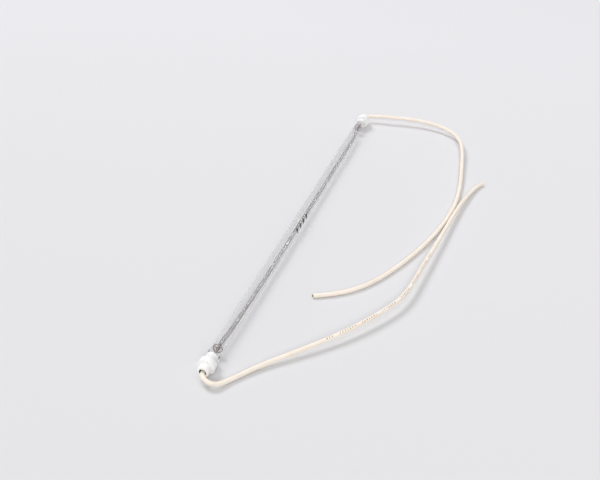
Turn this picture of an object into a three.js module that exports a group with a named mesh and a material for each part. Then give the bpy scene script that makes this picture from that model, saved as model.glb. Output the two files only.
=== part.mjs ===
// Quartz heating element of a food warmer: a clear quartz tube with a resistance coil inside,
// a stepped ceramic cap cemented into each end, and one insulated lead out of each cap.
//
// Millimetres, +Z up. The tube runs along X, between the near end (-X) and the far end (+X).
// The element lies on a surface at z = 0, on the collars of its caps, and the origin is on that
// surface, under the middle of the tube.

import * as THREE from "three";

// ---- Tube ----------------------------------------------------------------------------------
const TUBE_LENGTH = 425;
const TUBE_OUTER_RADIUS = 5;
const TUBE_WALL = 0.7;

// ---- Ceramic cap: a nose outside, a collar that the tube butts on, a spigot in the tube -------
const NOSE_LENGTH = 6;
const NOSE_WALL = 2.1;
const COLLAR_LENGTH = 5;
const COLLAR_STEP = 2; // how far the collar stands out beyond the tube
const SPIGOT_LENGTH = 7.5;
const LEAD_BORE_FLOOR = 3.5; // ceramic left between the lead bore and the spigot's root
const NOSE_EDGE = 0.9;
const COLLAR_EDGE = 0.6;
const BORE_MOUTH_EDGE = 0.3;

// ---- Inside the cap: cement, pin, crimp barrel and the lead's bare conductor ---------------------
const PIN_RADIUS = 0.9;
const PIN_IN_BARREL = 2.2;
const PIN_IN_COIL = 5;
const CEMENT_THICKNESS = 0.4;
const BARREL_LENGTH = 3.8;
const BARREL_WALL = 0.5;
const CONDUCTOR_RADIUS = 0.9;
const CONDUCTOR_SHOWING = 0.5; // bare conductor between the barrel and the jacket
const POTTING_LENGTH = 2;
const TIP_LENGTH = 1;

// ---- Centring ring inside the tube: a rim, three arms and a hub on the pin ----------------------
const RING_DISTANCE = 16.5; // from the tube's end to the middle of the ring
const RING_THICKNESS = 0.8;
const RING_RIM_WIDTH = 0.8;
const RING_HUB_WALL = 0.6;
const RING_ARMS = 3;
const RING_ARM_ANGLE = 0.36; // radians that one arm takes up
const RING_WINDOW_STEPS = 8;

// ---- Heating coil, as the sleeve that its turns fill -------------------------------------------
const COIL_OUTER_RADIUS = 1.85;
const COIL_WALL = 0.55;
const COIL_SIDES = 12;
const COIL_STEPS = 40;
const COIL_SLACK_DIRECTION = new THREE.Vector3(0, -0.9, -0.43).normalize();

// ---- Leads -------------------------------------------------------------------------------------
const LEAD_RADIUS = 1.9;
const LEAD_LIFT = 0.1; // a lying lead's clearance over the surface, which its facets need
const LEAD_BEND_STEPS = 9;
const LEAD_RUN_STEPS = 38;

// ---- Fits --------------------------------------------------------------------------------------
const SEAT_GAP = 0.3; // between faces that touch
const SLIDE_GAP = 0.2; // around a round piece in its bore
const LEAD_BORE_CLEARANCE = 0.9; // around the lead in the nose

const ROUND_SEGMENTS = 32;
const SMALL_ROUND_SEGMENTS = 20;
const LEAD_SIDES = 8;
const ARC_STEPS = 3;

// ---- Places worked out from the sizes above -------------------------------------------------
// Each end is built with x = 0 at the tube's end face and +X pointing out of the tube.
const COLLAR_RADIUS = TUBE_OUTER_RADIUS + COLLAR_STEP;
const AXIS_HEIGHT = COLLAR_RADIUS;
const TUBE_BORE_RADIUS = TUBE_OUTER_RADIUS - TUBE_WALL;
const LEAD_BORE_RADIUS = LEAD_RADIUS + LEAD_BORE_CLEARANCE;
const NOSE_RADIUS = LEAD_BORE_RADIUS + NOSE_WALL;
const COLLAR_INNER_X = SEAT_GAP;
const COLLAR_OUTER_X = COLLAR_INNER_X + COLLAR_LENGTH;
const NOSE_FACE_X = COLLAR_OUTER_X + NOSE_LENGTH;
const SPIGOT_END_X = COLLAR_INNER_X - SPIGOT_LENGTH;
const LEAD_BORE_FLOOR_X = COLLAR_INNER_X + LEAD_BORE_FLOOR;
const CEMENT_OUTER_RADIUS = TUBE_BORE_RADIUS - SLIDE_GAP;
const SPIGOT_RADIUS = CEMENT_OUTER_RADIUS - CEMENT_THICKNESS - SLIDE_GAP;
const PIN_HOLE_RADIUS = PIN_RADIUS + SLIDE_GAP;
const BARREL_INNER_X = LEAD_BORE_FLOOR_X + SEAT_GAP;
const BARREL_OUTER_X = BARREL_INNER_X + BARREL_LENGTH;
const BARREL_BORE_RADIUS = Math.max(PIN_RADIUS, CONDUCTOR_RADIUS) + SLIDE_GAP;
const BARREL_RADIUS = BARREL_BORE_RADIUS + BARREL_WALL;
const PIN_OUTER_X = BARREL_INNER_X + PIN_IN_BARREL;
const PIN_INNER_X = -RING_DISTANCE - PIN_IN_COIL;
const LEAD_START_X = BARREL_OUTER_X + CONDUCTOR_SHOWING + SEAT_GAP;
const COIL_END_X = RING_DISTANCE + RING_THICKNESS / 2 + SEAT_GAP;

// ---- Lead routes -------------------------------------------------------------------------------
// Points on each lead's centreline from its cap's mouth to its cut end, as [x, y, rise]. The
// rise is 0 where the lead lies on the surface and 1 at the height of the tube's axis. The bend
// points carry the lead round beside its cap, and the run points carry it on along the surface.
const DRAWN_NOSE_FACE_X = 223.8; // the nose faces' distance from the middle that x is drawn for
const NEAR_BEND = [
  [-222.6, 0, 0.9],
  [-225.6, -0.8, 0.87],
  [-227.9, -2.6, 0.82],
  [-229.5, -5.3, 0.73],
  [-230.1, -8.5, 0.59],
  [-229.4, -11.6, 0.44],
  [-227.5, -14.3, 0.3],
  [-224.5, -16.6, 0.17],
  [-220.6, -19.2, 0.07],
];
const NEAR_RUN = [
  [-220.6, -19.2, 0.07],
  [-212.5, -24.9, 0.04],
  [-201.4, -33.6, 0.14],
  [-190, -44, 0.3],
  [-178.5, -55.4, 0.48],
  [-166.8, -66.6, 0.66],
  [-154.3, -77.9, 0.82],
  [-141, -88.6, 0.96],
  [-127, -98.4, 1.06],
  [-113, -107, 1.14],
  [-99.5, -114, 1.18],
  [-84, -119.2, 1.2],
  [-67, -121.8, 1.2],
  [-48, -123.8, 1.14],
  [-27, -126, 1.04],
  [0, -128.9, 0.9],
  [28, -131.7, 0.74],
  [57, -134.6, 0.56],
  [82, -137.9, 0.36],
  [103, -142, 0.16],
  [117, -146, 0.04],
  [126, -150.4, 0],
];
const FAR_BEND = [
  [222.6, 0, 0.9],
  [225.8, -0.8, 0.92],
  [228.3, -2.6, 0.95],
  [230, -5.2, 0.99],
  [230.9, -8.7, 1.03],
  [231.5, -13.6, 1.08],
  [232.2, -20.5, 1.15],
];
const FAR_RUN = [
  [232.2, -20.5, 1.15],
  [233.4, -31, 1.2],
  [234.6, -43, 1.2],
  [235.1, -55, 1.18],
  [234.3, -67.5, 1.14],
  [231.5, -80.5, 1.08],
  [225.6, -93.8, 1],
  [215.2, -106, 0.9],
  [200.5, -114.6, 0.78],
  [182.5, -119.7, 0.64],
  [163, -123, 0.5],
  [137, -126.9, 0.3],
  [108, -130.2, 0.12],
  [80, -131.2, 0.02],
  [52, -129, 0],
  [24, -124, 0],
  [-4.5, -116.4, 0],
  [-29.5, -107.6, 0],
  [-48, -99.6, 0],
  [-64, -91.5, 0],
  [-77, -83, 0],
  [-88, -72.8, 0],
  [-97.2, -60.4, 0],
  [-104.8, -46, 0],
];

// How far the coil lies off the tube's axis along X, as a share of the way to the tube's wall.
// It is held on the axis by the pins at its two ends, and rests against the wall between them.
const COIL_SLACK = [
  [-1, 0],
  [-0.955, 0],
  [-0.9, 0.47],
  [-0.76, 0.66],
  [-0.54, 0.95],
  [-0.3, 1],
  [0.3, 1],
  [0.8, 1],
  [0.87, 0.95],
  [0.915, 0.68],
  [0.955, 0],
  [1, 0],
];

// ---- Materials ---------------------------------------------------------------------------------
const QUARTZ = { color: 0xe6e9ea, roughness: 0.05, metalness: 0 };
const RESISTANCE_WIRE = { color: 0x6b625c, roughness: 0.45, metalness: 1 };
const STEATITE = { color: 0xf6f6f3, roughness: 0.45, metalness: 0 };
const CEMENT = { color: 0xeeece6, roughness: 0.9, metalness: 0 };
const OXIDISED_STEEL = { color: 0x4c423c, roughness: 0.6, metalness: 1 };
const NICKEL = { color: 0xb9b6ae, roughness: 0.35, metalness: 1 };
const COPPER = { color: 0xa36a4a, roughness: 0.4, metalness: 1 };
const LEAD_JACKET = { color: 0xf2e4cf, roughness: 0.6, metalness: 0 };

function piece(name, geometry, finish) {
  const mesh = new THREE.Mesh(geometry, new THREE.MeshStandardMaterial(finish));
  mesh.name = name;
  return mesh;
}

// The corner at `here` of an outline, as the points of a tangent arc of the given radius.
function roundedCorner(before, here, after, radius) {
  if (!radius) return [here];
  const toBefore = before.clone().sub(here).normalize();
  const toAfter = after.clone().sub(here).normalize();
  const halfAngle = Math.acos(toBefore.dot(toAfter)) / 2;
  const setback = radius / Math.tan(halfAngle);
  const bisector = toBefore.clone().add(toAfter).normalize();
  const centre = here.clone().addScaledVector(bisector, radius / Math.sin(halfAngle));
  const start = here.clone().addScaledVector(toBefore, setback).sub(centre);
  const end = here.clone().addScaledVector(toAfter, setback).sub(centre);
  const sweep = Math.atan2(start.cross(end), start.dot(end));
  return Array.from({ length: ARC_STEPS + 1 }, (_, step) =>
    start.clone().rotateAround(new THREE.Vector2(), (sweep * step) / ARC_STEPS).add(centre)
  );
}

// A solid of revolution about X. The outline is a closed loop of [x, radius, edge radius]
// corners, which goes towards +X on the outside and comes back on the inside.
function turned(outline, segments) {
  const corners = outline.map(([x, radius]) => new THREE.Vector2(radius, x));
  const count = corners.length;
  const profile = corners.flatMap((corner, i) =>
    roundedCorner(corners[(i + count - 1) % count], corner, corners[(i + 1) % count], outline[i][2])
  );
  profile.push(profile[0].clone());
  return new THREE.LatheGeometry(profile, segments).rotateZ(-Math.PI / 2);
}

function sleeve(fromX, toX, innerRadius, outerRadius, segments = SMALL_ROUND_SEGMENTS) {
  const outline = [
    [fromX, outerRadius],
    [toX, outerRadius],
    [toX, innerRadius],
    [fromX, innerRadius],
  ];
  return turned(outline, segments);
}

// A solid round bar along X.
function bar(fromX, toX, radius) {
  const profile = [
    new THREE.Vector2(0, fromX),
    new THREE.Vector2(radius, fromX),
    new THREE.Vector2(radius, toX),
    new THREE.Vector2(0, toX),
  ];
  return new THREE.LatheGeometry(profile, SMALL_ROUND_SEGMENTS).rotateZ(-Math.PI / 2);
}

function polygon(radius, sides, Kind = THREE.Shape) {
  const outline = new Kind();
  for (let side = 0; side < sides; side += 1) {
    const angle = (2 * Math.PI * (side + 0.5)) / sides;
    const x = radius * Math.cos(angle);
    const y = radius * Math.sin(angle);
    if (side === 0) outline.moveTo(x, y);
    else outline.lineTo(x, y);
  }
  outline.closePath();
  return outline;
}

// Points along an arc about the origin, with both of its ends.
function arc(radius, from, to, steps) {
  return Array.from({ length: steps + 1 }, (_, step) => {
    const angle = from + ((to - from) * step) / steps;
    return new THREE.Vector2(radius * Math.cos(angle), radius * Math.sin(angle));
  });
}

function swept(section, points, steps) {
  const path = new THREE.CatmullRomCurve3(points, false, "centripetal");
  return new THREE.ExtrudeGeometry(section, { steps, extrudePath: path, bevelEnabled: false });
}

// ---- Pieces in the tube ------------------------------------------------------------------------
function quartzTube() {
  const half = TUBE_LENGTH / 2;
  const geometry = sleeve(-half, half, TUBE_BORE_RADIUS, TUBE_OUTER_RADIUS, ROUND_SEGMENTS);
  return piece("quartz_tube", geometry.translate(0, 0, AXIS_HEIGHT), QUARTZ);
}

function heatingCoil() {
  const halfLength = TUBE_LENGTH / 2 - COIL_END_X;
  const facetLoss = TUBE_BORE_RADIUS * (1 - Math.cos(Math.PI / ROUND_SEGMENTS));
  const reach = TUBE_BORE_RADIUS - facetLoss - COIL_OUTER_RADIUS - SLIDE_GAP;
  const points = COIL_SLACK.map(([place, slack]) =>
    new THREE.Vector3(place * halfLength, 0, AXIS_HEIGHT)
      .addScaledVector(COIL_SLACK_DIRECTION, slack * reach)
  );
  const section = polygon(COIL_OUTER_RADIUS, COIL_SIDES);
  section.holes.push(polygon(COIL_OUTER_RADIUS - COIL_WALL, COIL_SIDES, THREE.Path));
  return piece("heating_coil", swept(section, points, COIL_STEPS), RESISTANCE_WIRE);
}

// ---- Pieces at each end, x = 0 at the tube's end face, +X out of the tube -----------------------
function ceramicCap(end) {
  const outline = [
    [SPIGOT_END_X, SPIGOT_RADIUS],
    [COLLAR_INNER_X, SPIGOT_RADIUS],
    [COLLAR_INNER_X, COLLAR_RADIUS, COLLAR_EDGE],
    [COLLAR_OUTER_X, COLLAR_RADIUS, COLLAR_EDGE],
    [COLLAR_OUTER_X, NOSE_RADIUS],
    [NOSE_FACE_X, NOSE_RADIUS, NOSE_EDGE],
    [NOSE_FACE_X, LEAD_BORE_RADIUS, BORE_MOUTH_EDGE],
    [LEAD_BORE_FLOOR_X, LEAD_BORE_RADIUS],
    [LEAD_BORE_FLOOR_X, PIN_HOLE_RADIUS],
    [SPIGOT_END_X, PIN_HOLE_RADIUS],
  ];
  return piece(`ceramic_cap_${end}`, turned(outline, ROUND_SEGMENTS), STEATITE);
}

function cementSleeve(end) {
  const inner = CEMENT_OUTER_RADIUS - CEMENT_THICKNESS;
  const geometry = sleeve(SPIGOT_END_X, -SEAT_GAP, inner, CEMENT_OUTER_RADIUS, ROUND_SEGMENTS);
  return piece(`cement_sleeve_${end}`, geometry, CEMENT);
}

// The openings between a ring's arms, as holes for its outline.
function ringWindows(hubRadius, rimRadius) {
  const openAngle = (2 * Math.PI) / RING_ARMS - RING_ARM_ANGLE;
  return Array.from({ length: RING_ARMS }, (_, arm) => {
    const from = (2 * Math.PI * arm) / RING_ARMS + RING_ARM_ANGLE / 2;
    const outside = arc(rimRadius, from, from + openAngle, RING_WINDOW_STEPS);
    const inside = arc(hubRadius, from, from + openAngle, RING_WINDOW_STEPS);
    return new THREE.Path([...outside, ...inside.reverse()]);
  });
}

function centringRing(end) {
  const rim = TUBE_BORE_RADIUS - SLIDE_GAP;
  const hub = PIN_HOLE_RADIUS + RING_HUB_WALL;
  const section = polygon(rim, ROUND_SEGMENTS);
  section.holes.push(polygon(PIN_HOLE_RADIUS, SMALL_ROUND_SEGMENTS, THREE.Path));
  section.holes.push(...ringWindows(hub, rim - RING_RIM_WIDTH));
  const geometry = new THREE.ExtrudeGeometry(section, { depth: RING_THICKNESS, bevelEnabled: false });
  geometry.rotateY(Math.PI / 2).translate(-RING_DISTANCE - RING_THICKNESS / 2, 0, 0);
  return piece(`centring_ring_${end}`, geometry, OXIDISED_STEEL);
}

function terminalPin(end) {
  return piece(`terminal_pin_${end}`, bar(PIN_INNER_X, PIN_OUTER_X, PIN_RADIUS), NICKEL);
}

function crimpBarrel(end) {
  const geometry = sleeve(BARREL_INNER_X, BARREL_OUTER_X, BARREL_BORE_RADIUS, BARREL_RADIUS);
  return piece(`crimp_barrel_${end}`, geometry, NICKEL);
}

function pottingPlug(end) {
  const inner = BARREL_RADIUS + SLIDE_GAP;
  const outer = LEAD_BORE_RADIUS - SLIDE_GAP;
  const from = LEAD_BORE_FLOOR_X + SEAT_GAP;
  return piece(`potting_plug_${end}`, sleeve(from, from + POTTING_LENGTH, inner, outer), CEMENT);
}

function conductorCore(end) {
  const geometry = bar(PIN_OUTER_X + SEAT_GAP, LEAD_START_X - SEAT_GAP, CONDUCTOR_RADIUS);
  return piece(`conductor_core_${end}`, geometry, COPPER);
}

function endPieces(end) {
  const group = new THREE.Group();
  group.add(
    ceramicCap(end),
    cementSleeve(end),
    centringRing(end),
    terminalPin(end),
    crimpBarrel(end),
    pottingPlug(end),
    conductorCore(end)
  );
  return group;
}

// ---- Leads ---------------------------------------------------------------------------------
// A route's points in place. The whole route stays with its cap's nose, and its rises follow
// the height of the tube's axis.
function routePoints(points) {
  const lying = LEAD_RADIUS + LEAD_LIFT;
  const noseShift = TUBE_LENGTH / 2 + NOSE_FACE_X - DRAWN_NOSE_FACE_X;
  const shift = Math.sign(points[0][0]) * noseShift;
  return points.map(
    ([x, y, rise]) => new THREE.Vector3(x + shift, y, lying + rise * (AXIS_HEIGHT - lying))
  );
}

// The bend starts inside the bore, where the jacket is cut back.
function bendPoints(bend) {
  const points = routePoints(bend);
  const start = points[0].clone();
  start.x = Math.sign(start.x) * (TUBE_LENGTH / 2 + LEAD_START_X);
  return [start, ...points];
}

// The run starts past the gap that the two stretches of one lead keep.
function runPoints(run) {
  const [first, second, ...rest] = routePoints(run);
  const along = second.clone().sub(first).normalize();
  return [first.addScaledVector(along, SEAT_GAP), second, ...rest];
}

function conductorTip(end, points) {
  const last = points[points.length - 1];
  const along = last.clone().sub(points[points.length - 2]).normalize();
  const geometry = bar(SEAT_GAP, SEAT_GAP + TIP_LENGTH, CONDUCTOR_RADIUS);
  const mesh = piece(`conductor_tip_${end}`, geometry, COPPER);
  mesh.quaternion.setFromUnitVectors(new THREE.Vector3(1, 0, 0), along);
  mesh.position.copy(last);
  return mesh;
}

function lead(end, bend, run) {
  const section = polygon(LEAD_RADIUS, LEAD_SIDES);
  const runRoute = runPoints(run);
  const group = new THREE.Group();
  group.add(
    piece(`lead_bend_${end}`, swept(section, bendPoints(bend), LEAD_BEND_STEPS), LEAD_JACKET),
    piece(`lead_run_${end}`, swept(section, runRoute, LEAD_RUN_STEPS), LEAD_JACKET),
    conductorTip(end, runRoute)
  );
  return group;
}

// ---- The element ---------------------------------------------------------------------------
const element = new THREE.Group();
element.add(quartzTube(), heatingCoil());

const farEnd = endPieces("far");
farEnd.position.set(TUBE_LENGTH / 2, 0, AXIS_HEIGHT);

const nearEnd = endPieces("near");
nearEnd.position.set(-TUBE_LENGTH / 2, 0, AXIS_HEIGHT);
nearEnd.rotation.z = Math.PI;

element.add(farEnd, nearEnd, lead("far", FAR_BEND, FAR_RUN), lead("near", NEAR_BEND, NEAR_RUN));

export default element;
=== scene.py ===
"""Looks of the quartz heating element: glass tube, wound coil, ceramic caps and their two leads.

Metres, +Z up. The tube runs along X from the near end (-X) to the far end (+X), with the surface
that the element lies on at z = 0. The sizes repeat the ones in the CAD source.
"""
import math
import random

import bmesh
import bpy
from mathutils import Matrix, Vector, noise


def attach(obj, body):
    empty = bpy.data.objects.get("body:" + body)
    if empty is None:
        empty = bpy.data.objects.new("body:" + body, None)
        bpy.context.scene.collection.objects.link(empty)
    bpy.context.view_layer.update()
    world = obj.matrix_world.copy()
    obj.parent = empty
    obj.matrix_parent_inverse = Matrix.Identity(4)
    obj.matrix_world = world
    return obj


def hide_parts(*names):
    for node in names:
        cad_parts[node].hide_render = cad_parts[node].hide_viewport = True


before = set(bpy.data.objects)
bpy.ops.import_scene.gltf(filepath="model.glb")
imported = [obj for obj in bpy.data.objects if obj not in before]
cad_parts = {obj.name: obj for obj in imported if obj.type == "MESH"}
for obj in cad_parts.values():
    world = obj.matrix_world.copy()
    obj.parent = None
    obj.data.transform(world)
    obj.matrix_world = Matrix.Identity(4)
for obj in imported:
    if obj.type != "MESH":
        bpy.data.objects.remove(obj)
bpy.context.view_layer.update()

MM = 0.001
UP = Vector((0, 0, 1))
BODY = "root"
MERGE_DISTANCE = 1e-7  # metres
ENDS = {"near": -1, "far": 1}  # which way each end points along X

# ---- Sizes, in millimetres as in the CAD source -------------------------------------------------
TUBE_LENGTH = 425
TUBE_RADIUS = 5
TUBE_WALL = 0.7
TUBE_BORE_RADIUS = TUBE_RADIUS - TUBE_WALL
TUBE_END_ROUND = 0.3
TUBE_RIB_REACH = 200  # the tube's mesh has a row of points every TUBE_RIB_STEP up to here
TUBE_RIB_STEP = 20
AXIS_HEIGHT = 7

# Places along X in each end are measured outward from the tube's end face.
COLLAR_INNER_X = 0.3
COLLAR_OUTER_X = 5.3
COLLAR_RADIUS = 7
COLLAR_EDGE = 0.6
NOSE_FACE_X = 11.3
NOSE_RADIUS = 4.9
NOSE_EDGE = 0.9
NOSE_ROOT_FILLET = 0.35
SPIGOT_END_X = -7.2
SPIGOT_RADIUS = 3.5
SPIGOT_EDGE = 0.3
LEAD_BORE_RADIUS = 2.8
LEAD_BORE_FLOOR_X = 3.8
BORE_MOUTH_EDGE = 0.3
PIN_HOLE_RADIUS = 1.1
PIN_HOLE_EDGE = 0.1
BORE_TOLERANCE = 0.005  # for telling the bore's faces from the cap's other faces

CEMENT_INNER_RADIUS = 3.7
CEMENT_OUTER_RADIUS = 4.42  # it grips the glass, so nothing dark shows between them
CEMENT_INNER_X = -7.2
CEMENT_OUTER_X = -0.3
CEMENT_MARGIN = 0.15  # kept free at each end for the grain
CEMENT_ROWS = 13
CEMENT_GRAIN = 0.12
CEMENT_LUMPS = 1.4  # per millimetre

PIN_RADIUS = 0.9
PIN_EDGE = 0.2
PIN_INNER_X = -21.5
PIN_OUTER_X = 6.3
BARREL_INNER_X = 4.1
BARREL_OUTER_X = 7.9
BARREL_BORE_RADIUS = 1.1
BARREL_RADIUS = 1.6
BARREL_BORE_EDGE = 0.08
BARREL_EDGE = 0.12
CRIMP_PLACE = 0.8  # from the barrel's middle to each dent
CRIMP_HALF_WIDTH = 0.4
CRIMP_DEPTH = 0.25
CRIMP_EDGE = 0.1
POTTING_INNER_X = 4.1
POTTING_OUTER_X = 6.1
POTTING_INNER_RADIUS = 1.8
POTTING_OUTER_RADIUS = 2.6
POTTING_MARGIN = 0.1
POTTING_ROWS = 7
POTTING_GRAIN = 0.1
POTTING_LUMPS = 2.2
CORE_INNER_X = 6.6
CORE_OUTER_X = 8.4
CONDUCTOR_RADIUS = 0.9
TIP_LENGTH = 1
TIP_ROOT_DEPTH = 1.2
TIP_SPREAD = 0.12  # share by which the strands lean apart where they are cut
STRANDS_ACROSS = 5
STRAND_LAYERS = ((0, 1, 0), (2, 6, 0), (3.9, 12, 0.5))  # strand radii out, strands, first turn
STRAND_FILL = 0.97
STRAND_UNEVEN = 0.18  # share of the length by which a strand may be cut short
STRAND_TWIST = 0.6
STRAND_ROWS = 5

RING_X = -16.5
RING_THICKNESS = 0.8
RING_RADIUS = 4.1
RING_RIM_WIDTH = 0.8
RING_HOLE_RADIUS = 1.1
RING_HUB_RADIUS = 1.7
RING_ARMS = 3
RING_ARM_WIDTH = 0.6
RING_ARM_LAP = 0.2  # how far an arm runs into the rim and the hub
RING_EDGE = 0.15

COIL_HALF_LENGTH = 195.3
COIL_MEAN_RADIUS = 1.5
COIL_WIRE_RADIUS = 0.18
COIL_PITCH = 1.0
COIL_END_PITCH = 6
COIL_STRETCHED_LENGTH = {-1: 2, 1: 14}  # at each end, where the turns are pulled apart
COIL_STRETCHED_SHARE = 0.6  # of that length has the end pitch; the pitch eases over the rest
COIL_GRIP_LENGTH = 4.6  # at each end, where the turns close on the pin
COIL_GRIP_SHARE = 0.8  # of that length has the grip radius; the turns widen past it
COIL_GRIP_RADIUS = 1.22
COIL_STEPS_PER_TURN = 16
COIL_SLACK_REACH = 2.23
COIL_SLACK_DIRECTION = Vector((0, -0.9, -0.43)).normalized()
COIL_SLACK = [  # share of the half length, share of the reach
    (-1, 0), (-0.955, 0), (-0.9, 0.47), (-0.76, 0.66), (-0.54, 0.95), (-0.3, 1),
    (0.3, 1), (0.8, 1), (0.87, 0.95), (0.915, 0.68), (0.955, 0), (1, 0),
]

LEAD_RADIUS = 1.9
LEAD_LYING_HEIGHT = 2.0
LEAD_SEAT_X = 221.2  # where the jacket starts, inside the cap's bore
LEAD_STEP = 1.5  # between the rings of a lead's mesh
LEAD_CUT_ROUND = 0.22
LEAD_CUT_SHARE = 0.3  # of the rounding, where the rim's middle row of points is
LEAD_SWELL = 0.012  # share by which the jacket's thickness varies
LEAD_SWELL_LUMPS = 60  # per metre
CONDUCTOR_HOLE_RADIUS = 1.0
CONDUCTOR_HOLE_DEPTH = 1.5

# Points on each lead's centreline, as [x, y, rise]. The rise is 0 where the lead lies on the
# surface and 1 at the height of the tube's axis.
NEAR_ROUTE = [
    (-222.6, 0, .9), (-225.6, -.8, .87), (-227.9, -2.6, .82), (-229.5, -5.3, .73),
    (-230.1, -8.5, .59), (-229.4, -11.6, .44), (-227.5, -14.3, .3), (-224.5, -16.6, .17),
    (-220.6, -19.2, .07), (-212.5, -24.9, .04), (-201.4, -33.6, .14), (-190, -44, .3),
    (-178.5, -55.4, .48), (-166.8, -66.6, .66), (-154.3, -77.9, .82), (-141, -88.6, .96),
    (-127, -98.4, 1.06), (-113, -107, 1.14), (-99.5, -114, 1.18), (-84, -119.2, 1.2),
    (-67, -121.8, 1.2), (-48, -123.8, 1.14), (-27, -126, 1.04), (0, -128.9, .9),
    (28, -131.7, .74), (57, -134.6, .56), (82, -137.9, .36), (103, -142, .16),
    (117, -146, .04), (126, -150.4, 0),
]
FAR_ROUTE = [
    (222.6, 0, .9), (225.8, -.8, .92), (228.3, -2.6, .95), (230, -5.2, .99),
    (230.9, -8.7, 1.03), (231.5, -13.6, 1.08), (232.2, -20.5, 1.15), (233.4, -31, 1.2),
    (234.6, -43, 1.2), (235.1, -55, 1.18), (234.3, -67.5, 1.14), (231.5, -80.5, 1.08),
    (225.6, -93.8, 1), (215.2, -106, .9), (200.5, -114.6, .78), (182.5, -119.7, .64),
    (163, -123, .5), (137, -126.9, .3), (108, -130.2, .12), (80, -131.2, .02),
    (52, -129, 0), (24, -124, 0), (-4.5, -116.4, 0), (-29.5, -107.6, 0),
    (-48, -99.6, 0), (-64, -91.5, 0), (-77, -83, 0), (-88, -72.8, 0),
    (-97.2, -60.4, 0), (-104.8, -46, 0),
]

SIDES = {  # flat sides round each turned or swept piece
    "tube": 96, "cap": 96, "cement": 48, "potting": 36, "rim": 72, "hub": 40, "pin": 32,
    "barrel": 40, "lead": 24, "coil_wire": 6, "strand": 10,
}
SEEDS = {"cement": 1, "potting": 4, "core": 11, "tip": 21}  # each end adds -1 or 1
NOISE_SEED = 7  # without it Blender's vector noise starts from the clock

# ---- Printed and inked marks, in millimetres and degrees ------------------------------------------
PRINT_SPANS = {"near": (112, 262), "far": (0, 0)}  # along each lead; the far one has no print
PRINT_PITCH = 2.4
PRINT_STROKE = 1.1
PRINT_HEIGHT = 1.5
PRINT_SLANT = 0.35
PRINT_GROUP_PITCH = 22
PRINT_GROUP_LENGTH = 16
PRINT_SIDE = math.radians(-20)  # how far the print line is turned from the top of the lead

INK_MARKS_X = (0.6, -7.8, -16.2, -25)
INK_DASH = ((1.4, 148), (-1.4, 164), 1.5)  # from, to as (x, degrees round the tube), half width
INK_STROKE = ((-0.6, 164), (0.6, 202), 0.8)
INK_LIFT = 0.005
INK_THICKNESS = 0.03
INK_TAPER = 0.45
INK_STEPS = 8

# ---- Camera, lights and surface ----------------------------------------------------------------
CAMERA_PLACE = (-0.62996, -0.21466, 0.42981)
CAMERA_AIM = (0.78417, 0.26902, -0.55919)
CAMERA_LENS = 50.4
CAMERA_SENSOR_WIDTH = 36
CAMERA_NEAREST = 0.01
LIGHTS = {  # place, aim, size in metres, watts, colour, and whether shiny pieces mirror it
    "key": ((2.9, 4.5, 6.0), (0, 0, 0), (3.0, 3.0), 330, (0.99, 0.985, 1.02), False),
    "fill": ((-6.4, -2.2, 4.4), (0, 0, 0), (2.6, 2.6), 250, (1.0, 1.0, 1.0), True),
    "top": ((0.2, -0.9, 3), (0, 0, 0), (1.2, 1.2), 9, (1.0, 1.0, 1.0), True),
}
ROOM_COLOUR = (0.985, 0.98, 1.0, 1)
ROOM_LIGHT_LOW, ROOM_LIGHT_HIGH = 0.46, 0.6  # at the horizon, and overhead
ROOM_LIGHT_POWER = 3
SURFACE_RADIUS = 6
SURFACE_SIDES = 192


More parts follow.
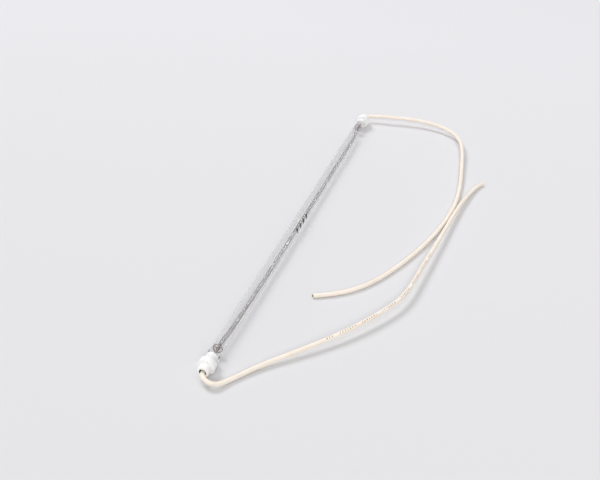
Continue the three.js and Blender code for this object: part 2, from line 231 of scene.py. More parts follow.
# ---- Material helpers -------------------------------------------------------------------------
class Look:
    """A material with a Principled shader, and short ways to add the nodes that drive it."""

    def __init__(self, name, **plain):
        self.material = bpy.data.materials.new(name)
        self.material.use_nodes = True
        self.tree = self.material.node_tree
        self.shader = self.tree.nodes["Principled BSDF"]
        self.output = self.tree.nodes["Material Output"]
        for socket, value in plain.items():
            self.shader.inputs[socket.replace("_", " ")].default_value = value

    def node(self, kind, **values):
        made = self.tree.nodes.new("ShaderNode" + kind)
        for socket, value in values.items():
            made.inputs[socket.replace("_", " ")].default_value = value
        return made

    def link(self, source, target):
        self.tree.links.new(source, target)

    def place(self, stretch=(1, 1, 1)):
        """The object's own coordinates, stretched per axis."""
        coordinates = self.node("TexCoord")
        mapping = self.node("Mapping", Scale=stretch)
        self.link(coordinates.outputs["Object"], mapping.inputs["Vector"])
        return mapping.outputs["Vector"]

    def grain(self, scale, detail=3.0, stretch=(1, 1, 1)):
        """Noise with about `scale` lumps per metre."""
        made = self.node("TexNoise", Scale=scale, Detail=detail)
        self.link(self.place(stretch), made.inputs["Vector"])
        return made.outputs["Fac"]

    def attribute(self, name):
        made = self.node("Attribute")
        made.attribute_name = name
        return made.outputs["Fac"]

    def ramp(self, factor, *stops):
        """Colours (or greys) along a 0 to 1 factor, as (place, colour) stops."""
        made = self.node("ValToRGB")
        self.link(factor, made.inputs["Fac"])
        places = made.color_ramp.elements
        while len(places) < len(stops):
            places.new(0.5)
        for place, (at, colour) in zip(places, stops):
            grey = isinstance(colour, (int, float))
            place.position = at
            place.color = (colour, colour, colour, 1) if grey else (*colour, 1)
        return made.outputs["Color"]

    def maths(self, operation, first, second):
        made = self.node("Math")
        made.operation = operation
        for socket, value in zip(made.inputs, (first, second)):
            if isinstance(value, (int, float)):
                socket.default_value = value
            else:
                self.link(value, socket)
        return made.outputs["Value"]

    def blend(self, factor, first, second, mode="MIX"):
        made = self.node("Mix")
        made.data_type = "RGBA"
        made.blend_type = mode
        self.link(factor, made.inputs["Factor"])
        for name, value in (("A", first), ("B", second)):
            socket = next(s for s in made.inputs if s.name == name and s.type == "RGBA")
            if isinstance(value, tuple):
                socket.default_value = (*value, 1)
            else:
                self.link(value, socket)
        return next(s for s in made.outputs if s.type == "RGBA")

    def colour(self, source):
        self.link(source, self.shader.inputs["Base Color"])

    def rough(self, source):
        self.link(source, self.shader.inputs["Roughness"])

    def bump(self, height, distance, strength=1.0):
        """Raises the surface by up to `distance` metres where the height is 1."""
        made = self.node("Bump", Strength=strength, Distance=distance)
        self.link(height, made.inputs["Height"])
        self.link(made.outputs["Normal"], self.shader.inputs["Normal"])


# ---- Materials -----------------------------------------------------------------------------------
def quartz():
    """Clear fused quartz with faint drawing lines.

    Light for shadows and for the surface below goes straight through it, less at its edges.
    """
    look = Look("quartz", Transmission_Weight=1.0, IOR=1.458, Base_Color=(1, 1, 1, 1))
    look.rough(look.ramp(look.grain(60, 2, (1, 9, 9)), (0.35, 0.0), (0.75, 0.03)))
    look.bump(look.grain(900, 2, (0.02, 1, 1)), 0.00001, 0.35)
    facing = look.node("LayerWeight", Blend=0.35)
    shade = look.ramp(facing.outputs["Facing"], (0.0, (0.995, 0.995, 0.995)),
                      (0.95, (0.8, 0.8, 0.81)))
    clear = look.node("BsdfTransparent")
    look.link(shade, clear.inputs["Color"])
    rays = look.node("LightPath")
    seen = look.shader.outputs[0]
    for kind in ("Is Shadow Ray", "Is Diffuse Ray"):
        either = look.node("MixShader")
        look.link(rays.outputs[kind], either.inputs[0])
        look.link(seen, either.inputs[1])
        look.link(clear.outputs[0], either.inputs[2])
        seen = either.outputs[0]
    look.link(seen, look.output.inputs["Surface"])
    return look.material


def resistance_wire():
    """Nichrome that has been hot: grey oxide with faint brown patches."""
    look = Look("resistance_wire", Metallic=0.8)
    patches = look.grain(400, 4)
    look.colour(look.ramp(patches, (0.3, (0.44, 0.42, 0.41)), (0.55, (0.55, 0.53, 0.52)),
                          (0.8, (0.52, 0.47, 0.45))))
    look.rough(look.ramp(patches, (0.3, 0.36), (0.8, 0.3)))
    look.bump(look.grain(6000, 2), 0.000002, 0.3)
    return look.material


def ceramic():
    """Unglazed white steatite: matt, faintly mottled, with a fine pressed grain."""
    look = Look("ceramic", Subsurface_Weight=0.12, Subsurface_Scale=0.001,
                Subsurface_Radius=(1.0, 0.9, 0.8), Specular_IOR_Level=0.45)
    mottle = look.grain(350, 4)
    specks = look.ramp(look.grain(2600, 2), (0.24, (0.80, 0.78, 0.74)), (0.32, (1, 1, 1)))
    white = look.ramp(mottle, (0.3, (0.90, 0.895, 0.88)), (0.7, (0.945, 0.945, 0.94)))
    look.colour(look.blend(mottle, white, specks, "MULTIPLY"))
    look.rough(look.ramp(mottle, (0.3, 0.5), (0.7, 0.38)))
    look.bump(look.grain(3500, 3), 0.00003, 0.5)
    return look.material


def painted_bore_shade():
    """The lead bore's wall painted near-black with faint streaks: painted shade for the shadow deep
    inside the bore.
    """
    look = Look("painted_bore_shade", Specular_IOR_Level=0.3)
    streaks = look.grain(900, 3, (0.3, 1, 1))
    look.colour(look.ramp(streaks, (0.3, (0.018, 0.016, 0.015)), (0.8, (0.05, 0.045, 0.04))))
    look.rough(look.ramp(streaks, (0.3, 0.75), (0.8, 0.55)))
    look.bump(look.grain(2500, 2), 0.00004, 0.6)
    return look.material


def cement():
    """Dry refractory cement: chalky, gritty, a little warmer than the caps."""
    look = Look("cement", Specular_IOR_Level=0.25)
    grit = look.grain(1800, 5)
    look.colour(look.ramp(grit, (0.3, (0.90, 0.89, 0.87)), (0.65, (0.96, 0.955, 0.945))))
    look.rough(look.ramp(grit, (0.3, 0.95), (0.7, 0.8)))
    look.bump(grit, 0.00012, 0.8)
    return look.material


def oxidised_steel():
    """Steel blued and browned by heat."""
    look = Look("oxidised_steel", Metallic=0.45)
    bloom = look.grain(500, 4)
    look.colour(look.ramp(bloom, (0.25, (0.28, 0.225, 0.22)), (0.5, (0.40, 0.34, 0.335)),
                          (0.75, (0.48, 0.42, 0.425))))
    look.rough(look.ramp(bloom, (0.3, 0.62), (0.8, 0.4)))
    look.bump(look.grain(3000, 2), 0.00002, 0.5)
    return look.material


def nickel():
    """Plain nickel, dulled, with fine marks along it."""
    look = Look("nickel", Metallic=1.0)
    marks = look.grain(1500, 3, (0.15, 1, 1))
    look.colour(look.ramp(marks, (0.3, (0.48, 0.46, 0.42)), (0.7, (0.66, 0.63, 0.58))))
    look.rough(look.ramp(marks, (0.3, 0.45), (0.7, 0.3)))
    look.bump(marks, 0.00001, 0.5)
    return look.material


def strand():
    """Thin plated copper strands, tarnished at the cut."""
    look = Look("conductor_strand", Metallic=0.9)
    tarnish = look.grain(2500, 3)
    look.colour(look.ramp(tarnish, (0.3, (0.22, 0.15, 0.11)), (0.7, (0.46, 0.36, 0.28))))
    look.rough(look.ramp(tarnish, (0.3, 0.55), (0.7, 0.35)))
    look.bump(tarnish, 0.00001, 0.4)
    return look.material


def jacket():
    """Cream lead insulation: an extruded skin with faint lines along it and a worn print line.

    The print is plain slanted ticks in groups, without letters, a little off the lead's top.
    """
    look = Look("lead_jacket", Specular_IOR_Level=0.5, Subsurface_Weight=0.08,
                Subsurface_Scale=0.001, Subsurface_Radius=(1.0, 0.7, 0.5))
    along, across = look.attribute("along"), look.attribute("across")
    printed = look.attribute("printed")
    tone = look.grain(120, 3)
    cream = look.ramp(tone, (0.3, (0.88, 0.79, 0.675)), (0.7, (0.93, 0.855, 0.755)))
    ticks = tick_mask(look, along, across, printed)
    look.colour(look.blend(ticks, cream, (0.42, 0.34, 0.27)))
    look.rough(look.ramp(tone, (0.3, 0.42), (0.7, 0.56)))
    lines = look.node("TexNoise", Scale=1.0, Detail=2.0)
    drawn_out = look.node("CombineXYZ")
    look.link(look.maths("MULTIPLY", along, 120.0), drawn_out.inputs["X"])
    look.link(look.maths("MULTIPLY", across, 2600.0), drawn_out.inputs["Y"])
    look.link(drawn_out.outputs["Vector"], lines.inputs["Vector"])
    look.bump(lines.outputs["Fac"], 0.00003, 0.45)
    return look.material


def tick_mask(look, along, across, printed):
    """1 on the printed ticks of a lead, softened by wear."""
    slanted = look.maths("ADD", along, look.maths("MULTIPLY", across, PRINT_SLANT))
    tick = look.maths("PINGPONG", slanted, PRINT_PITCH * MM / 2)
    on_tick = look.maths("LESS_THAN", tick, PRINT_STROKE * MM / 2)
    group = look.maths("PINGPONG", slanted, PRINT_GROUP_PITCH * MM / 2)
    in_group = look.maths("LESS_THAN", group, PRINT_GROUP_LENGTH * MM / 2)
    on_band = look.maths("LESS_THAN", look.maths("ABSOLUTE", across, 0.0), PRINT_HEIGHT * MM / 2)
    wear = look.ramp(look.grain(900, 3), (0.36, 0.25), (0.56, 1.0))
    mask = look.maths("MULTIPLY", on_tick, in_group)
    mask = look.maths("MULTIPLY", mask, on_band)
    mask = look.maths("MULTIPLY", mask, printed)
    return look.maths("MULTIPLY", mask, wear)


def ink():
    """Black marking ink on the quartz, thin where it skipped."""
    look = Look("marking_ink", Specular_IOR_Level=0.4)
    skip = look.grain(2200, 3)
    look.colour(look.ramp(skip, (0.35, (0.012, 0.010, 0.012)), (0.75, (0.07, 0.055, 0.06))))
    look.rough(look.ramp(skip, (0.3, 0.7), (0.7, 0.5)))
    look.bump(skip, 0.00001, 0.4)
    return look.material


def table_top():
    """The pale surface that the element lies on, painted lighter and a little bluer towards +X:
    painted light.
    """
    look = Look("pale_surface", Specular_IOR_Level=0.2)
    tone = look.grain(1.5, 2)
    along = look.node("SeparateXYZ")
    look.link(look.place(), along.inputs["Vector"])
    # Painted light: lighter and bluer towards +X, for the lamps' light falling off across the
    # surface.
    painted_light_falloff = look.ramp(look.maths("ADD", along.outputs["X"], 0.5),
                      (0.0, (0.676, 0.678, 0.678)), (1.0, (0.736, 0.732, 0.741)))
    clouds = look.ramp(tone, (0.3, (0.975, 0.975, 0.975)), (0.7, (1, 1, 1)))
    look.colour(look.blend(tone, painted_light_falloff, clouds, "MULTIPLY"))
    look.rough(look.ramp(tone, (0.3, 0.7), (0.7, 0.6)))
    return look.material


LOOKS = {
    "quartz": quartz(), "resistance_wire": resistance_wire(), "ceramic": ceramic(),
    "bore": painted_bore_shade(), "cement": cement(), "oxidised_steel": oxidised_steel(),
    "nickel": nickel(), "conductor": strand(), "ink": ink(), "table": table_top(),
}


# ---- Shape helpers ------------------------------------------------------------------------------
def add_mesh(name, verts, faces, look, node_names, flat_faces=False):
    """Makes a closed piece that rides on the body and stands for CAD nodes. Verts are in metres."""
    mesh = bpy.data.meshes.new(name)
    mesh.from_pydata([tuple(v) for v in verts], [], faces)
    work = bmesh.new()
    work.from_mesh(mesh)
    bmesh.ops.remove_doubles(work, verts=work.verts, dist=MERGE_DISTANCE)
    bmesh.ops.recalc_face_normals(work, faces=work.faces)
    work.to_mesh(mesh)
    work.free()
    mesh.shade_smooth()
    mesh.materials.append(LOOKS[look])
    piece = bpy.data.objects.new(name, mesh)
    bpy.context.scene.collection.objects.link(piece)
    if flat_faces:
        piece.modifiers.new("keep_flats", "WEIGHTED_NORMAL").keep_sharp = True
    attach(piece, BODY)
    if node_names:
        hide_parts(*node_names)
    return piece


def rounded(outline, steps=5):
    """An outline of (x, radius, rounding) corners as plain (x, radius) points."""
    points = []
    for i, (x, r, size) in enumerate(outline):
        corner = Vector((x, r))
        if size == 0:
            points.append(corner)
            continue
        before = (Vector(outline[i - 1][:2]) - corner).normalized()
        after = (Vector(outline[(i + 1) % len(outline)][:2]) - corner).normalized()
        start, end = corner + before * size, corner + after * size
        for k in range(steps + 1):
            t = k / steps
            points.append(start * (1 - t) ** 2 + corner * 2 * t * (1 - t) + end * t * t)
    return points


def turned(outline, sides, wobble=None):
    """Verts and faces of a closed outline turned about the tube's axis."""
    verts, faces = [], []
    for x, r in outline:
        for k in range(sides):
            a = math.tau * k / sides
            v = Vector((x, r * math.cos(a), r * math.sin(a)))
            if wobble and r > 0:
                v += wobble(v)
            verts.append((v + Vector((0, 0, AXIS_HEIGHT))) * MM)
    rows = len(outline)
    for i in range(rows):
        here, there = i * sides, (i + 1) % rows * sides
        for k in range(sides):
            near, far = k, (k + 1) % sides
            faces.append((here + near, here + far, there + far, there + near))
    return verts, faces


def on_axis(end, x):
    """The point on the tube's axis x millimetres outward from an end face, in millimetres."""
    return Vector((ENDS[end] * (TUBE_LENGTH / 2 + x), 0, AXIS_HEIGHT))


def at_end(end, outline):
    """An outline drawn with x = 0 at the tube's end face and +x outward, moved to an end."""
    sign = ENDS[end]
    return [Vector((sign * (TUBE_LENGTH / 2 + p[0]), p[1])) for p in outline]


def rod(inner_x, outer_x, radius, edge):
    """The outline of a solid rod on the axis, with rounded rims."""
    return rounded([(inner_x, 0, 0), (inner_x, radius, edge), (outer_x, radius, edge),
                    (outer_x, 0, 0)], 4)


def ring(inner_x, outer_x, inner_radius, outer_radius, edge):
    """The outline of a plain sleeve or washer, with rounded rims."""
    return rounded([(inner_x, inner_radius, edge), (inner_x, outer_radius, edge),
                    (outer_x, outer_radius, edge), (outer_x, inner_radius, edge)], 4)


def rough_by(size, scale, seed):
    """A wobble that moves points by up to about `size` mm, in lumps of about 1 / scale mm."""
    shift = Vector((seed * 17.3, seed * 5.1, seed * 9.7))
    return lambda v: noise.noise_vector(v * scale + shift) * size


def tube_faces(rows, sides):
    """Faces of a tube whose verts are rows of `sides` points, closed at both ends."""
    faces = []
    for i in range(rows - 1):
        here, there = i * sides, (i + 1) * sides
        for k in range(sides):
            near, far = k, (k + 1) % sides
            faces.append((here + near, here + far, there + far, there + near))
    faces.append(tuple(range(sides)))
    faces.append(tuple((rows - 1) * sides + k for k in reversed(range(sides))))
    return faces


def joined(parts):
    """The verts and faces of several bodies as one list of each."""
    verts, faces = [], []
    for more_verts, more_faces in parts:
        faces += [tuple(i + len(verts) for i in face) for face in more_faces]
        verts += more_verts
    return verts, faces


def swept(points, normals, radii, sides):
    """Verts and faces of a round wire along the points, closed at both ends."""
    verts = []
    last = len(points) - 1
    for i, (point, normal) in enumerate(zip(points, normals)):
        along = (points[min(i + 1, last)] - points[max(i - 1, 0)]).normalized()
        side = along.cross(normal).normalized()
        up = side.cross(along)
        for k in range(sides):
            a = math.tau * k / sides
            verts.append(point + (up * math.cos(a) + side * math.sin(a)) * radii[i])
    return verts, tube_faces(len(points), sides)


# ---- Tube and coil ---------------------------------------------------------------------------------
def make_tube():
    """The glass, from end to end, with softened rims."""
    half = TUBE_LENGTH / 2
    ribs = range(-TUBE_RIB_REACH, TUBE_RIB_REACH + 1, TUBE_RIB_STEP)
    outline = [(-half, TUBE_BORE_RADIUS, TUBE_END_ROUND), (-half, TUBE_RADIUS, TUBE_END_ROUND)]
    outline += [(x, TUBE_RADIUS, 0) for x in ribs]
    outline += [(half, TUBE_RADIUS, TUBE_END_ROUND), (half, TUBE_BORE_RADIUS, TUBE_END_ROUND)]
    outline += [(x, TUBE_BORE_RADIUS, 0) for x in reversed(ribs)]
    verts, faces = turned(rounded(outline), SIDES["tube"])
    add_mesh("quartz_tube_glass", verts, faces, "quartz", ["quartz_tube"])


def smooth_step(t):
    """0 up to t = 0, 1 from t = 1, and an easy curve between."""
    t = min(1, max(0, t))
    return t * t * (3 - 2 * t)


def coil_slack(x):
    """How far the coil's axis lies from the tube's at x, in millimetres."""
    share = x / COIL_HALF_LENGTH
    for (a, low), (b, high) in zip(COIL_SLACK, COIL_SLACK[1:]):
        if a <= share <= b:
            return COIL_SLACK_REACH * (low + (high - low) * smooth_step((share - a) / (b - a)))
    return 0


def make_coil():
    """One wire wound from end to end, with its end turns pulled apart and closed on the pins."""
    points, normals = [], []
    x, turn = -COIL_HALF_LENGTH + COIL_WIRE_RADIUS, 0.0
    while x < COIL_HALF_LENGTH - COIL_WIRE_RADIUS:
        to_end = COIL_HALF_LENGTH - abs(x)
        stretched = COIL_STRETCHED_LENGTH[1 if x > 0 else -1]
        eased = to_end / stretched - COIL_STRETCHED_SHARE
        tight = smooth_step(eased / (1 - COIL_STRETCHED_SHARE))
        pitch = COIL_END_PITCH + (COIL_PITCH - COIL_END_PITCH) * tight
        wide = smooth_step(to_end / COIL_GRIP_LENGTH - COIL_GRIP_SHARE)
        radius = COIL_GRIP_RADIUS + (COIL_MEAN_RADIUS - COIL_GRIP_RADIUS) * wide
        centre = COIL_SLACK_DIRECTION * coil_slack(x)
        a = math.tau * turn
        out = Vector((0, math.cos(a), math.sin(a)))
        points.append((Vector((x, 0, AXIS_HEIGHT)) + centre + out * radius) * MM)
        normals.append(out)
        turn += 1 / COIL_STEPS_PER_TURN
        x += pitch / COIL_STEPS_PER_TURN
    radii = [COIL_WIRE_RADIUS * MM] * len(points)
    verts, faces = swept(points, normals, radii, SIDES["coil_wire"])
    add_mesh("wound_coil", verts, faces, "resistance_wire", ["heating_coil"])


def ink_stroke(mark_x, start, end, half_width):
    """Verts and faces of a thin curved bar of ink on the tube, narrower at its ends."""
    verts = []
    along = Vector((end[0] - start[0], math.radians(end[1] - start[1]) * TUBE_RADIUS)).normalized()
    across = Vector((-along.y, along.x)) * half_width
    corners = ((-1, INK_LIFT), (1, INK_LIFT), (1, INK_THICKNESS), (-1, INK_THICKNESS))
    for i in range(INK_STEPS + 1):
        t = i / INK_STEPS
        taper = 1 - INK_TAPER * abs(2 * t - 1) ** 3
        x = mark_x + start[0] + (end[0] - start[0]) * t
        round_by = math.radians(start[1] + (end[1] - start[1]) * t) * TUBE_RADIUS
        for side, lift in corners:
            px, arc = x + across.x * side * taper, round_by + across.y * side * taper
            a, r = arc / TUBE_RADIUS, TUBE_RADIUS + lift
            verts.append(Vector((px, r * math.cos(a), AXIS_HEIGHT + r * math.sin(a))) * MM)
    return verts, tube_faces(INK_STEPS + 1, len(corners))


def make_ink_marks():
    """Four plain marks across the middle of the tube: a short dash with a thin stroke under it."""
    verts, faces = joined(ink_stroke(mark_x, *stroke)
                          for mark_x in INK_MARKS_X for stroke in (INK_DASH, INK_STROKE))
    add_mesh("ink_marks", verts, faces, "ink", [])


# ---- The parts of each end -----------------------------------------------------------------------
def make_cap(end):
    """Nose with the lead bore, collar, and the spigot inside the tube."""
    outline = at_end(end, rounded([
        (SPIGOT_END_X, PIN_HOLE_RADIUS, PIN_HOLE_EDGE),
        (SPIGOT_END_X, SPIGOT_RADIUS, SPIGOT_EDGE),
        (COLLAR_INNER_X, SPIGOT_RADIUS, 0),
        (COLLAR_INNER_X, COLLAR_RADIUS, COLLAR_EDGE),
        (COLLAR_OUTER_X, COLLAR_RADIUS, COLLAR_EDGE),
        (COLLAR_OUTER_X, NOSE_RADIUS, NOSE_ROOT_FILLET),
        (NOSE_FACE_X, NOSE_RADIUS, NOSE_EDGE),
        (NOSE_FACE_X, LEAD_BORE_RADIUS, BORE_MOUTH_EDGE),
        (LEAD_BORE_FLOOR_X, LEAD_BORE_RADIUS, 0),
        (LEAD_BORE_FLOOR_X, PIN_HOLE_RADIUS, 0),
    ]))
    verts, faces = turned(outline, SIDES["cap"])
    piece = add_mesh(f"cap_{end}", verts, faces, "ceramic", [f"ceramic_cap_{end}"],
                     flat_faces=True)
    # The bore's wall past its floor gets the near-black look: painted shade, not a dark material of
    # the cap.
    piece.data.materials.append(LOOKS["bore"])
    axis = Vector((0, 0, AXIS_HEIGHT)) * MM
    for face in piece.data.polygons:
        middle = face.center - axis
        outward = abs(middle.x) / MM - TUBE_LENGTH / 2
        radius = math.hypot(middle.y, middle.z) / MM
        past_floor = outward > LEAD_BORE_FLOOR_X - BORE_TOLERANCE
        if past_floor and radius < LEAD_BORE_RADIUS + BORE_TOLERANCE:
            face.material_index = 1


def rough_sleeve(end, span, radii, rows, sides, wobble):
    """Verts and faces of a sleeve of set cement, with rough faces."""
    inner_x, outer_x = span
    inner_radius, outer_radius = radii
    places = [inner_x + (outer_x - inner_x) * k / (rows - 1) for k in range(rows)]
    outline = [(x, outer_radius) for x in places]
    outline += [(x, inner_radius) for x in reversed(places)]
    return turned(at_end(end, outline), sides, wobble)


def make_cement(end):
    """The cement between the spigot and the tube."""
    span = (CEMENT_INNER_X + CEMENT_MARGIN, CEMENT_OUTER_X - CEMENT_MARGIN)
    verts, faces = rough_sleeve(
        end, span, (CEMENT_INNER_RADIUS, CEMENT_OUTER_RADIUS), CEMENT_ROWS, SIDES["cement"],
        rough_by(CEMENT_GRAIN, CEMENT_LUMPS, SEEDS["cement"] + ENDS[end]))
    add_mesh(f"cement_{end}", verts, faces, "cement", [f"cement_sleeve_{end}"])


def make_ring(end):
    """A pressed ring that holds the pin in the middle of the tube: rim, three arms and hub."""
    left, right = RING_X - RING_THICKNESS / 2, RING_X + RING_THICKNESS / 2
    rim_inner = RING_RADIUS - RING_RIM_WIDTH
    rim = ring(left, right, rim_inner, RING_RADIUS, RING_EDGE)
    hub = ring(left, right, RING_HOLE_RADIUS, RING_HUB_RADIUS, RING_EDGE)
    bodies = [turned(at_end(end, rim), SIDES["rim"]), turned(at_end(end, hub), SIDES["hub"])]
    middle = on_axis(end, RING_X)
    inner, outer = RING_HUB_RADIUS - RING_ARM_LAP, rim_inner + RING_ARM_LAP
    deep = Vector((RING_THICKNESS / 2 - RING_EDGE, 0, 0))
    corners = ((-1, -1), (1, -1), (1, 1), (-1, 1))
    for arm in range(RING_ARMS):
        a = math.tau * arm / RING_ARMS
        out = Vector((0, math.sin(a), -math.cos(a)))
        across = Vector((0, math.cos(a), math.sin(a))) * RING_ARM_WIDTH / 2
        verts = [(middle + out * reach + across * side + deep * face) * MM
                 for reach in (inner, outer) for side, face in corners]
        faces = [(0, 1, 2, 3), (4, 5, 6, 7)]
        faces += [(k, (k + 1) % 4, (k + 1) % 4 + 4, k + 4) for k in range(4)]
        bodies.append((verts, faces))
    verts, faces = joined(bodies)
    add_mesh(f"ring_{end}", verts, faces, "oxidised_steel", [f"centring_ring_{end}"],
             flat_faces=True)


def make_pin(end):
    """The pin from the barrel through the spigot and the ring into the coil's end turns."""
    outline = rod(PIN_INNER_X, PIN_OUTER_X, PIN_RADIUS, PIN_EDGE)
    verts, faces = turned(at_end(end, outline), SIDES["pin"])
    add_mesh(f"pin_{end}", verts, faces, "oxidised_steel", [f"terminal_pin_{end}"],
             flat_faces=True)


def make_barrel(end):
    """A crimp barrel with two rows of crimp dents in its outside."""
    corners = [(BARREL_INNER_X, BARREL_BORE_RADIUS, BARREL_BORE_EDGE),
               (BARREL_INNER_X, BARREL_RADIUS, BARREL_EDGE)]
    for side in (-1, 1):
        dent_x = (BARREL_INNER_X + BARREL_OUTER_X) / 2 + side * CRIMP_PLACE
        corners += [(dent_x - CRIMP_HALF_WIDTH, BARREL_RADIUS, CRIMP_EDGE),
                    (dent_x, BARREL_RADIUS - CRIMP_DEPTH, CRIMP_EDGE),
                    (dent_x + CRIMP_HALF_WIDTH, BARREL_RADIUS, CRIMP_EDGE)]
    corners += [(BARREL_OUTER_X, BARREL_RADIUS, BARREL_EDGE),
                (BARREL_OUTER_X, BARREL_BORE_RADIUS, BARREL_BORE_EDGE)]
    verts, faces = turned(at_end(end, rounded(corners, 3)), SIDES["barrel"])
    add_mesh(f"barrel_{end}", verts, faces, "nickel", [f"crimp_barrel_{end}"])


def make_potting(end):
    """The cement round the barrel, at the bottom of the lead's bore."""
    span = (POTTING_INNER_X + POTTING_MARGIN, POTTING_OUTER_X - POTTING_MARGIN)
    verts, faces = rough_sleeve(
        end, span, (POTTING_INNER_RADIUS, POTTING_OUTER_RADIUS), POTTING_ROWS, SIDES["potting"],
        rough_by(POTTING_GRAIN, POTTING_LUMPS, SEEDS["potting"] + ENDS[end]))
    add_mesh(f"potting_{end}", verts, faces, "cement", [f"potting_plug_{end}"])


def strands(start, end, normal, spread, seed):
    """Verts and faces of a bundle of bare strands from start to end, cut a little unevenly."""
    chance = random.Random(seed)
    along = (end - start).normalized()
    side = along.cross(normal).normalized()
    up = side.cross(along)
    radius = CONDUCTOR_RADIUS * MM / STRANDS_ACROSS
    centres = [(distance * radius, math.tau * (k + first) / count)
               for distance, count, first in STRAND_LAYERS for k in range(count)]
    wires = []
    length = (end - start).length
    for distance, angle in centres:
        reach = length * (1 - STRAND_UNEVEN * chance.random())
        lean = spread * chance.random()
        points = []
        for k in range(STRAND_ROWS):
            t = k / (STRAND_ROWS - 1)
            turn = angle + STRAND_TWIST * t
            out = (up * math.cos(turn) + side * math.sin(turn)) * distance * (1 + lean * t)
            points.append(start + along * reach * t + out)
        radii = [radius * STRAND_FILL] * STRAND_ROWS
        wires.append(swept(points, [up] * STRAND_ROWS, radii, SIDES["strand"]))
    return joined(wires)


def make_core(end):
    """The lead's bare conductor where it sits in the barrel."""
    inner, outer = on_axis(end, CORE_INNER_X) * MM, on_axis(end, CORE_OUTER_X) * MM
    verts, faces = strands(outer, inner, UP, 0, SEEDS["core"] + ENDS[end])
    add_mesh(f"core_{end}", verts, faces, "conductor", [f"conductor_core_{end}"])


# ---- Leads ---------------------------------------------------------------------------------------
def smooth_route(points, step):
    """A centripetal Catmull-Rom curve through the points, as points about `step` apart."""
    padded = [points[0] * 2 - points[1], *points, points[-1] * 2 - points[-2]]
    made = [points[0]]
    for before, start, end, after in zip(padded, padded[1:], padded[2:], padded[3:]):
        first, here, last = [math.sqrt((b - a).length) for a, b in
                             ((before, start), (start, end), (end, after))]
        leave = ((start - before) / first - (end - before) / (first + here)
                 + (end - start) / here) * here
        arrive = ((end - start) / here - (after - start) / (here + last)
                  + (after - end) / last) * here
        count = max(2, math.ceil((end - start).length / step))
        for k in range(1, count + 1):
            t = k / count
            made.append(start * (2 * t ** 3 - 3 * t ** 2 + 1) + leave * (t ** 3 - 2 * t ** 2 + t)
                        + end * (3 * t ** 2 - 2 * t ** 3) + arrive * (t ** 3 - t ** 2))
    return made


def lead_centreline(end):
    """The lead's centreline in metres, from inside its cap to its cut end."""
    route = NEAR_ROUTE if end == "near" else FAR_ROUTE
    rise_by = AXIS_HEIGHT - LEAD_LYING_HEIGHT
    route = [(ENDS[end] * LEAD_SEAT_X, 0, route[0][2]), *route]
    points = [Vector((x, y, LEAD_LYING_HEIGHT + rise * rise_by)) * MM for x, y, rise in route]
    return smooth_route(points, LEAD_STEP * MM)


def lead_direction(line, i):
    """Which way the lead runs at ring i. Past the line's end it keeps its last direction."""
    last = len(line) - 1
    if i >= last:
        return (line[last] - line[last - 1]).normalized()
    return (line[i + 1] - line[max(i - 1, 0)]).normalized()


def lead_rings(line):
    """Centre and radius of each ring of the jacket's mesh.

    The last ones are the cut end: a softened rim, the cut face, and a short way down the
    conductor's hole.
    """
    cut, along = line[-1], lead_direction(line, len(line))
    radius, rounding = LEAD_RADIUS * MM, LEAD_CUT_ROUND * MM
    rings = [(place, radius) for place in line[:-1]]
    rings += [
        (cut - along * rounding, radius),
        (cut - along * rounding * LEAD_CUT_SHARE, radius - rounding * LEAD_CUT_SHARE),
        (cut, radius - rounding),
        (cut, CONDUCTOR_HOLE_RADIUS * MM),
        (cut - along * CONDUCTOR_HOLE_DEPTH * MM, CONDUCTOR_HOLE_RADIUS * MM),
    ]
    return rings


def lead_mesh(line):
    """Verts and faces of the jacket, and each vert's way along the lead and round from its print."""
    verts, distances, offsets = [], [], []
    rings, sides = lead_rings(line), SIDES["lead"]
    travelled, previous = 0.0, rings[0][0]
    for i, (place, radius) in enumerate(rings):
        if i < len(line):
            travelled += (place - previous).length
            previous = place
        forward = lead_direction(line, i)
        side = forward.cross(UP).normalized()
        top = side.cross(forward)
        swell = 1 + LEAD_SWELL * noise.noise(place * LEAD_SWELL_LUMPS)
        for k in range(sides):
            a = math.tau * k / sides
            verts.append(place + (top * math.cos(a) + side * math.sin(a)) * radius * swell)
            distances.append(travelled)
            turned_by = (a + PRINT_SIDE + math.pi) % math.tau - math.pi
            offsets.append(turned_by * LEAD_RADIUS * MM)
    return verts, tube_faces(len(rings), sides), distances, offsets


def add_print_line(piece, end, distances, offsets):
    """Stores where the print goes as values on the jacket's points, for its material."""
    starts, stops = (distance * MM for distance in PRINT_SPANS[end])
    values = {
        "along": distances,
        "across": offsets,
        "printed": [1.0 if starts < d < stops else 0.0 for d in distances],
    }
    for name, numbers in values.items():
        piece.data.attributes.new(name, "FLOAT", "POINT").data.foreach_set("value", numbers)


def make_tip(end, line):
    """The bare strands that show at the lead's cut end."""
    cut, along = line[-1], lead_direction(line, len(line))
    verts, faces = strands(cut - along * TIP_ROOT_DEPTH * MM, cut + along * TIP_LENGTH * MM, UP,
                           TIP_SPREAD, SEEDS["tip"] + ENDS[end])
    return add_mesh(f"strands_{end}", verts, faces, "conductor", [f"conductor_tip_{end}"])


def make_lead(end):
    """One lead: its jacket, open at the cut end, and the strands that show there."""
    line = lead_centreline(end)
    verts, faces, distances, offsets = lead_mesh(line)
    piece = add_mesh(f"lead_{end}", verts, faces, "jacket",
                     [f"lead_bend_{end}", f"lead_run_{end}"])
    add_print_line(piece, end, distances, offsets)
    tip = make_tip(end, line)


# ---- Camera, lights and surface ------------------------------------------------------------------
def make_camera():
    """Looks down along the tube from beyond its near end."""
    data = bpy.data.cameras.new("camera")
    data.lens = CAMERA_LENS
    data.sensor_width = CAMERA_SENSOR_WIDTH
    data.clip_start = CAMERA_NEAREST
    camera = bpy.data.objects.new("camera", data)
    camera.location = CAMERA_PLACE
    camera.rotation_mode = "QUATERNION"
    camera.rotation_quaternion = Vector(CAMERA_AIM).to_track_quat("-Z", "Y")
    bpy.context.scene.collection.objects.link(camera)
    bpy.context.scene.camera = camera


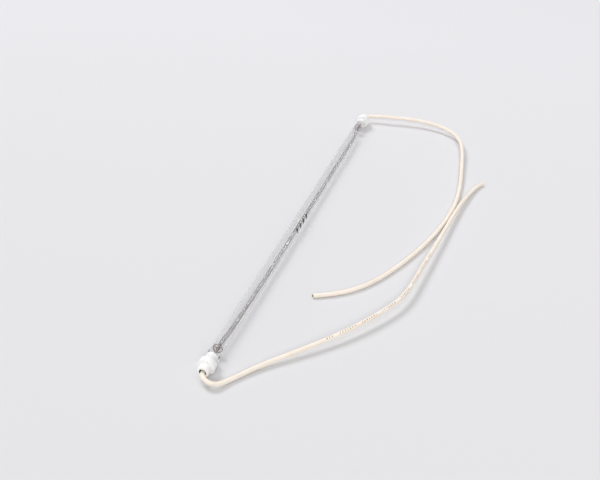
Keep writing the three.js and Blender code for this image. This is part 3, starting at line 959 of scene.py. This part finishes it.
def make_area_light(name, place, aim, size, watts, colour, mirrored):
    """A soft box that faces its aim."""
    data = bpy.data.lights.new(name, "AREA")
    data.shape = "RECTANGLE"
    data.size, data.size_y = size
    data.energy = watts
    data.color = colour
    lamp = bpy.data.objects.new(name, data)
    lamp.location = place
    lamp.visible_glossy = mirrored
    lamp.rotation_mode = "QUATERNION"
    lamp.rotation_quaternion = (Vector(aim) - Vector(place)).to_track_quat("-Z", "Y")
    bpy.context.scene.collection.objects.link(lamp)


def make_world():
    """A pale room that is brighter overhead than at the horizon."""
    world = bpy.data.worlds.new("studio")
    world.use_nodes = True
    tree = world.node_tree
    background = tree.nodes["Background"]
    background.inputs["Color"].default_value = ROOM_COLOUR
    direction = tree.nodes.new("ShaderNodeTexCoord")
    height = tree.nodes.new("ShaderNodeSeparateXYZ")
    steep = tree.nodes.new("ShaderNodeMath")
    steep.operation = "POWER"
    steep.use_clamp = True
    steep.inputs[1].default_value = ROOM_LIGHT_POWER
    strength = tree.nodes.new("ShaderNodeMath")
    strength.operation = "MULTIPLY_ADD"
    strength.inputs[1].default_value = ROOM_LIGHT_HIGH - ROOM_LIGHT_LOW
    strength.inputs[2].default_value = ROOM_LIGHT_LOW
    tree.links.new(direction.outputs["Generated"], height.inputs["Vector"])
    tree.links.new(height.outputs["Z"], steep.inputs[0])
    tree.links.new(steep.outputs["Value"], strength.inputs[0])
    tree.links.new(strength.outputs["Value"], background.inputs["Strength"])
    bpy.context.scene.world = world


def make_surface():
    """The wide round table top under everything."""
    mesh = bpy.data.meshes.new("table")
    work = bmesh.new()
    bmesh.ops.create_circle(work, cap_ends=True, segments=SURFACE_SIDES,
                             radius=SURFACE_RADIUS)
    work.to_mesh(mesh)
    work.free()
    mesh.materials.append(LOOKS["table"])
    table = bpy.data.objects.new("table", mesh)
    bpy.context.scene.collection.objects.link(table)


# ---- Everything, camera and leads first --------------------------------------------------------
noise.seed_set(NOISE_SEED)
LOOKS["jacket"] = jacket()
bpy.context.scene.view_settings.view_transform = "Standard"
make_camera()
for end in ENDS:
    make_lead(end)
make_tube()
make_coil()
make_ink_marks()
for end in ENDS:
    make_cap(end)
    make_cement(end)
    make_ring(end)
    make_pin(end)
    make_barrel(end)
    make_potting(end)
    make_core(end)
make_world()
make_surface()
for name, facts in LIGHTS.items():
    make_area_light(name, *facts)
